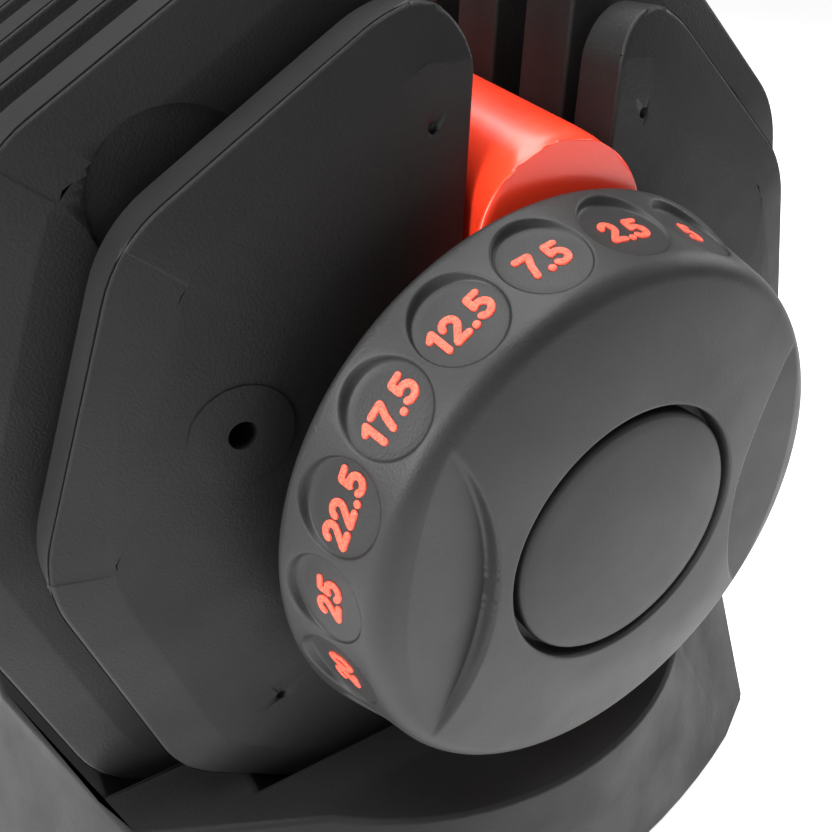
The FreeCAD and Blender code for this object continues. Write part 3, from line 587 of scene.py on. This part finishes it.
def turned(name, profile, columns=160):
    """A closed solid turned about X from a profile of (x, radius) points that starts and ends on the axis."""
    points = [(profile[0][0] * MM, 0, 0)]
    rows = profile[1:-1]
    for x, radius in rows:
        for i in range(columns):
            angle = 2 * math.pi * i / columns
            points.append((x * MM, radius * MM * math.cos(angle), radius * MM * math.sin(angle)))
    points.append((profile[-1][0] * MM, 0, 0))
    last = len(points) - 1
    faces = []
    for i in range(columns):
        j = (i + 1) % columns
        faces.append((0, 1 + j, 1 + i))
        for row in range(len(rows) - 1):
            a, b = 1 + row * columns, 1 + (row + 1) * columns
            faces.append((a + i, a + j, b + j, b + i))
        a = 1 + (len(rows) - 1) * columns
        faces.append((a + i, a + j, last))
    return mesh_from(name, points, faces)


def cap_mesh(name):
    """The dial's cap: a shallow dome with a rolled edge."""
    dome = [(23.6 - 1.15 * (r / 22.2) ** 2, r) for r in (22.2, 20, 17, 14, 11, 8, 5, 2.5)]
    edge = [(CAP_FLOOR, 22.9), (18.8, 23.2), (21.3, 23.25), (21.9, 23.05), (22.25, 22.7)]
    return turned(name, [(CAP_FLOOR, 0), (CAP_FLOOR, 12), *edge, *dome, (23.6, 0)])


# ---------------------------------------------------------------- numerals

STROKE = 0.225  # stroke width, with a digit's height as 1


def curve(cx, cy, rx, ry, start, end, count=14):
    """Points along part of an ellipse, between two angles in degrees."""
    steps = [math.radians(start + (end - start) * i / count) for i in range(count + 1)]
    return [(cx + rx * math.cos(t), cy + ry * math.sin(t)) for t in steps]


GLYPHS = {  # width, then the strokes' centre lines; a closed line ends where it starts
    "0": (0.66, [curve(0.33, 0.5, 0.225, 0.4, 90, 450, 30)]),
    "1": (0.44, [[(0.27, 0.9), (0.27, 0.1)], [(0.09, 0.74), (0.26, 0.88)]]),
    "2": (0.66, [[*curve(0.32, 0.67, 0.21, 0.23, 172, -34, 12), (0.14, 0.12)], [(0.13, 0.1), (0.54, 0.1)]]),
    "5": (0.66, [curve(0.31, 0.345, 0.235, 0.245, 122, -145, 14), [(0.17, 0.53), (0.18, 0.88)],
                 [(0.18, 0.9), (0.52, 0.9)]]),
    "7": (0.62, [[(0.08, 0.9), (0.53, 0.9)], [(0.53, 0.88), (0.36, 0.5), (0.26, 0.1)]]),
    ".": (0.28, [[(0.14, 0.1)]]),
}
LABELS = ("2.5", "7.5", "12.5", "17.5", "22.5", "25", "20", "15", "10", "5")
DIGIT_HEIGHT = 5.1
DIGIT_STRETCH = 1.06
DIGIT_RISE = 0.28


def stroke_outline(line, half):
    """The outer boundary of a round-ended stroke, and its inner boundary when the line is closed."""
    if len(line) == 1:
        (x, y), = line
        return [(x + half * 1.1 * c, y + half * 1.1 * s) for c, s in unit_circle(20)], None
    closed = math.dist(line[0], line[-1]) < 1e-6
    points = line[:-1] if closed else line
    left, right = [], []
    for i, (x, y) in enumerate(points):
        before = points[i - 1] if i or closed else None
        after = points[(i + 1) % len(points)] if i < len(points) - 1 or closed else None
        dirs = []
        for a, b in ((before, (x, y)), ((x, y), after)):
            if a and b:
                length = math.dist(a, b)
                dirs.append(((b[0] - a[0]) / length, (b[1] - a[1]) / length))
        nx = -sum(d[1] for d in dirs) / len(dirs)
        ny = sum(d[0] for d in dirs) / len(dirs)
        scale = half / max(nx * nx + ny * ny, 0.35)
        left.append((x + nx * scale, y + ny * scale))
        right.append((x - nx * scale, y - ny * scale))
    if closed:
        return right, left
    far_end = round_end(points[-1], points[-2], half)
    near_end = round_end(points[0], points[1], half)
    return left + far_end + right[::-1] + near_end, None


def unit_circle(count):
    return [(math.cos(2 * math.pi * i / count), math.sin(2 * math.pi * i / count)) for i in range(count)]


def round_end(tip, inner, half, count=8):
    """Points round a stroke's end, from its left side to its right as the stroke leaves."""
    heading = math.atan2(tip[1] - inner[1], tip[0] - inner[0])
    steps = [heading + math.pi / 2 - math.pi * i / count for i in range(1, count)]
    return [(tip[0] + half * 0.9 * math.cos(t), tip[1] + half * 0.9 * math.sin(t)) for t in steps]


def raised(bm, outer, inner, place, rise):
    """A low raised shape with a softened top edge, from an outline and an optional hole."""
    foot, top, lip = -0.25, rise, 0.07
    loops = []
    for outline, inwards in ((outer, 1), (inner, -1)):
        if outline is None:
            continue
        rows = []
        for height, inset in ((foot, 0.0), (top - lip, 0.0), (top, lip)):
            rows.append([bm.verts.new(place(*p, height)) for p in inset_loop(outline, inset * inwards)])
        for a, b in zip(rows, rows[1:]):
            for i in range(len(a)):
                j = (i + 1) % len(a)
                bm.faces.new((a[i], a[j], b[j], b[i]))
        loops.append(rows)
    for level in (0, -1):
        if len(loops) == 1:
            bm.faces.new(loops[0][level])
        else:
            a, b = loops[0][level], loops[1][level]
            for i in range(len(a)):
                j = (i + 1) % len(a)
                bm.faces.new((a[i], a[j], b[j], b[i]))


def inset_loop(outline, amount):
    """An outline moved inwards a little along each corner's own direction."""
    if abs(amount) < 1e-9:
        return outline
    area = sum(a[0] * b[1] - b[0] * a[1] for a, b in zip(outline, outline[1:] + outline[:1])) / 2
    sign = 1 if area > 0 else -1
    moved = []
    for i, (x, y) in enumerate(outline):
        ax, ay = outline[i - 1]
        bx, by = outline[(i + 1) % len(outline)]
        dx, dy = bx - ax, by - ay
        length = math.hypot(dx, dy) or 1.0
        moved.append((x - sign * dy / length * amount, y + sign * dx / length * amount))
    return moved


def numeral_mesh(name):
    """All the raised characters of one dial."""
    bm = bmesh.new()
    for index in range(POCKETS):
        label = LABELS[index % len(LABELS)]
        turn = POCKET_TURN * index
        size = DIGIT_HEIGHT
        wide = size * DIGIT_STRETCH
        width = sum(GLYPHS[c][0] for c in label) * wide
        u = -width / 2

        def place(x, y, height, turn=turn):
            along = POCKET_X + 0.2 + size / 2 - y
            return Vector(rim_point(along, x, floor_height(along) + height, turn)) * MM

        for character in label:
            advance, lines = GLYPHS[character]
            for order, line in enumerate(lines):
                outer, inner = stroke_outline([(x * DIGIT_STRETCH, y) for x, y in line], STROKE / 2)
                outer = [(u + x * size, y * size) for x, y in outer]
                if inner:
                    inner = [(u + x * size, y * size) for x, y in inner]
                raised(bm, outer, inner, place, DIGIT_RISE - 0.01 * order)
            u += advance * wide
    bmesh.ops.recalc_face_normals(bm, faces=bm.faces)
    mesh = bpy.data.meshes.new(name)
    bm.to_mesh(mesh)
    bm.free()
    shade(mesh, 40.0)
    return mesh


# ---------------------------------------------------------------- grip


def grip_mesh(name):
    """The grip: a barrel with a diamond-cut middle between smooth bands, over the handle tube."""
    half, end_radius, swell, bore = 64.0, 16.4, 1.45, 12.2
    cut_half, band_at = 54.0, 57.0
    diamonds, slant = 20, 1.25
    rows, columns = 320, 240
    points = []
    for row in range(rows + 1):
        x = -half + 2 * half * row / rows
        body = end_radius + swell * (1 - (x / half) ** 2)
        body -= 1.2 * (1 - smooth((half - abs(x)) / 1.6))
        cut = smooth((cut_half - abs(x)) / 3)
        band = smooth((1.2 - abs(abs(x) - band_at)) / 0.8)
        for i in range(columns):
            angle = 2 * math.pi * i / columns
            a = math.sin(angle * diamonds + x * slant)
            b = math.sin(angle * diamonds - x * slant)
            groove = smooth((0.34 - min(1 - abs(a), 1 - abs(b))) / 0.3)
            radius = body - 0.42 * cut * groove - 0.5 * band
            points.append((x * MM, radius * MM * math.cos(angle), radius * MM * math.sin(angle)))
    for x in (half, -half):
        for i in range(columns):
            angle = 2 * math.pi * i / columns
            points.append((x * MM, bore * MM * math.cos(angle), bore * MM * math.sin(angle)))
    faces = []
    count = rows + 3
    for row in range(count):
        a, b = row * columns, (row + 1) % count * columns
        for i in range(columns):
            j = (i + 1) % columns
            faces.append((a + i, a + j, b + j, b + i))
    return mesh_from(name, points, faces, 60.0)


def moved(mesh, matrix):
    mesh.transform(matrix)
    return mesh


for side, sign in SIDES:
    outwards = end_matrix(sign) @ Matrix.Translation((KNOB_REAR, 0, 0))
    dial = f"{side}_dial"
    new_piece(f"{side}_knob", moved(dial_mesh("knob"), outwards), dial, "dial_plastic", f"{side}_dial_knob")
    new_piece(f"{side}_cap", moved(cap_mesh("cap"), outwards), dial, "cap_plastic", f"{side}_dial_cap")
    numerals = moved(numeral_mesh("numerals"), outwards)
    new_piece(f"{side}_numerals", numerals, dial, "numeral_red", f"{side}_dial_numerals")
grip = moved(grip_mesh("grip"), end_matrix(1))
new_piece("grip", grip, "handle", "grip_rubber", "grip_sleeve")


# ---------------------------------------------------------------- room, light and camera


def floor():
    half = 6.0
    corners = [(-half, -half, 0), (half, -half, 0), (half, half, 0), (-half, half, 0)]
    mesh = mesh_from("floor", corners, [(0, 1, 2, 3)])
    piece = bpy.data.objects.new("floor", mesh)
    bpy.context.scene.collection.objects.link(piece)
    s = Shader("floor_paper")
    s.colour(s.mix(s.noise(3.0, 2.0), (0.86, 0.86, 0.86), (0.9, 0.9, 0.9)))
    s.rough(s.ramp(s.noise(40.0), (0.3, 0.8), (0.7, 0.9)))
    s.bump((s.noise(500.0), 0.05, 0.0002))
    s.fixed(Emission_Color=(1, 1, 1, 1), Emission_Strength=0.75)
    mesh.materials.append(s.material)


def area(name, place, target, size, power, colour=(1, 1, 1)):
    lamp = bpy.data.lights.new(name, "AREA")
    lamp.shape = "RECTANGLE"
    lamp.size, lamp.size_y = size
    lamp.energy = power
    lamp.color = colour
    piece = bpy.data.objects.new(name, lamp)
    bpy.context.scene.collection.objects.link(piece)
    piece.location = place
    piece.rotation_mode = "QUATERNION"
    piece.rotation_quaternion = (Vector(target) - Vector(place)).to_track_quat("-Z", "Y")
    return piece


def lights():
    world = bpy.data.worlds.new("studio")
    bpy.context.scene.world = world
    world.use_nodes = True
    background = next(n for n in world.node_tree.nodes if n.type == "BACKGROUND")
    background.inputs["Color"].default_value = (1, 1, 1, 1)
    background.inputs["Strength"].default_value = 0.22
    target = (0.19, 0, 0.12)
    area("key", (0.2, -1.08, 0.66), target, (0.7, 0.6), 20)
    area("top", (0.0, -0.1, 1.2), target, (1.1, 1.1), 24)
    area("back", (0.2, 1.1, 0.7), target, (0.7, 0.5), 5)
    area("front", (1.5, -0.4, 0.25), target, (0.8, 0.8), 0.6)
    bpy.context.scene.view_settings.view_transform = "Standard"


def camera():
    """The view down onto one dial, from in front of it and to one side."""
    azimuth, elevation, roll = math.radians(52.68), math.radians(27.35), math.radians(4.48)
    back = Vector((
        math.sin(azimuth) * math.cos(elevation),
        -math.cos(azimuth) * math.cos(elevation),
        math.sin(elevation),
    ))
    right = Vector((math.cos(azimuth), math.sin(azimuth), 0))
    up = back.cross(right)
    x = right * math.cos(roll) + up * math.sin(roll)
    y = up * math.cos(roll) - right * math.sin(roll)
    data = bpy.data.cameras.new("camera")
    data.sensor_width = 36
    data.lens = 37.6442
    data.shift_x = -0.0745
    data.shift_y = -0.0457
    data.clip_start = 0.005
    data.clip_end = 30
    piece = bpy.data.objects.new("camera", data)
    bpy.context.scene.collection.objects.link(piece)
    turn = Matrix((x, y, back)).transposed().to_4x4()
    centre = Vector((KNOB_REAR + 0.1009, -0.0946, AXIS_Z + 0.0897))
    piece.matrix_world = Matrix.Translation(centre) @ turn
    bpy.context.scene.camera = piece


floor()
lights()
camera()
